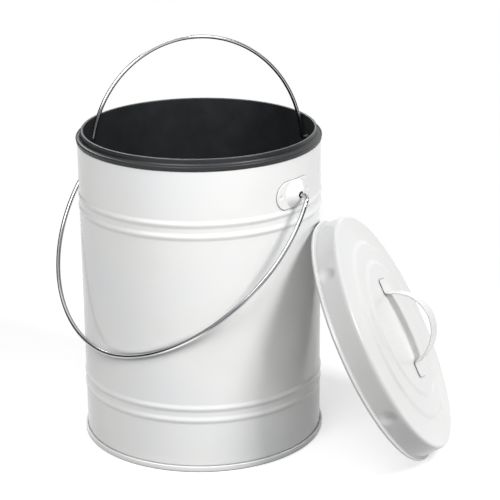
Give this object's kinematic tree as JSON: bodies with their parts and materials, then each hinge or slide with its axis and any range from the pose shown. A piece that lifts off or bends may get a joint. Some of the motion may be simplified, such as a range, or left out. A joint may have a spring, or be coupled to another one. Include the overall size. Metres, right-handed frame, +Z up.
{
  "type": "kitchen compost caddy",
  "caption": "Enamelled steel kitchen scraps caddy with a wire carrying bail, a lift-out plastic liner with its own wire bail, and a loose lid with a strap handle.",
  "frame": {"origin": "centre of the base, on the floor", "axes": "+Z up along the bin's axis; X through the two ears, with the lid leaning on the +X side; -Y towards the side where the carrying bail hangs"},
  "size_m": [0.3261, 0.2461, 0.3213],
  "materials": {
    "enamel": "gloss white enamel on sheet steel",
    "bail_wire": "bright nickel-plated steel wire",
    "liner_plastic": "satin dark grey moulded polypropylene"
  },
  "bodies": {
    "bin": {"body_shell": "enamel", "base_pan": "enamel", "ear_right": "enamel", "ear_left": "enamel"},
    "carrier": {"carrying_bail": "bail_wire"},
    "liner": {"liner_bucket": "liner_plastic"},
    "inner_bail": {"liner_bail": "bail_wire"},
    "lid": {"lid_shell": "enamel", "lid_handle": "enamel"}
  },
  "joints": [
    {"name": "carrying_bail_swing", "type": "hinge", "parent": "bin", "child": "carrier", "pos_m": [0, 0, 0.2143], "axis": [-1, 0, 0], "range_deg": [0, 240]},
    {"name": "liner_lift", "type": "slide", "parent": "bin", "child": "liner", "axis": [0, 0, 1], "range_m": [0, 0.26]},
    {"name": "liner_bail_swing", "type": "hinge", "parent": "liner", "child": "inner_bail", "pos_m": [0, 0, 0.2329], "axis": [0.497, 0.8678, 0], "range_deg": [-84, 95.5]},
    {"name": "lid_lift", "type": "slide", "parent": "bin", "child": "lid", "axis": [0.7773, 0.4256, 0.4633], "range_m": [0, 0.18]}
  ]
}
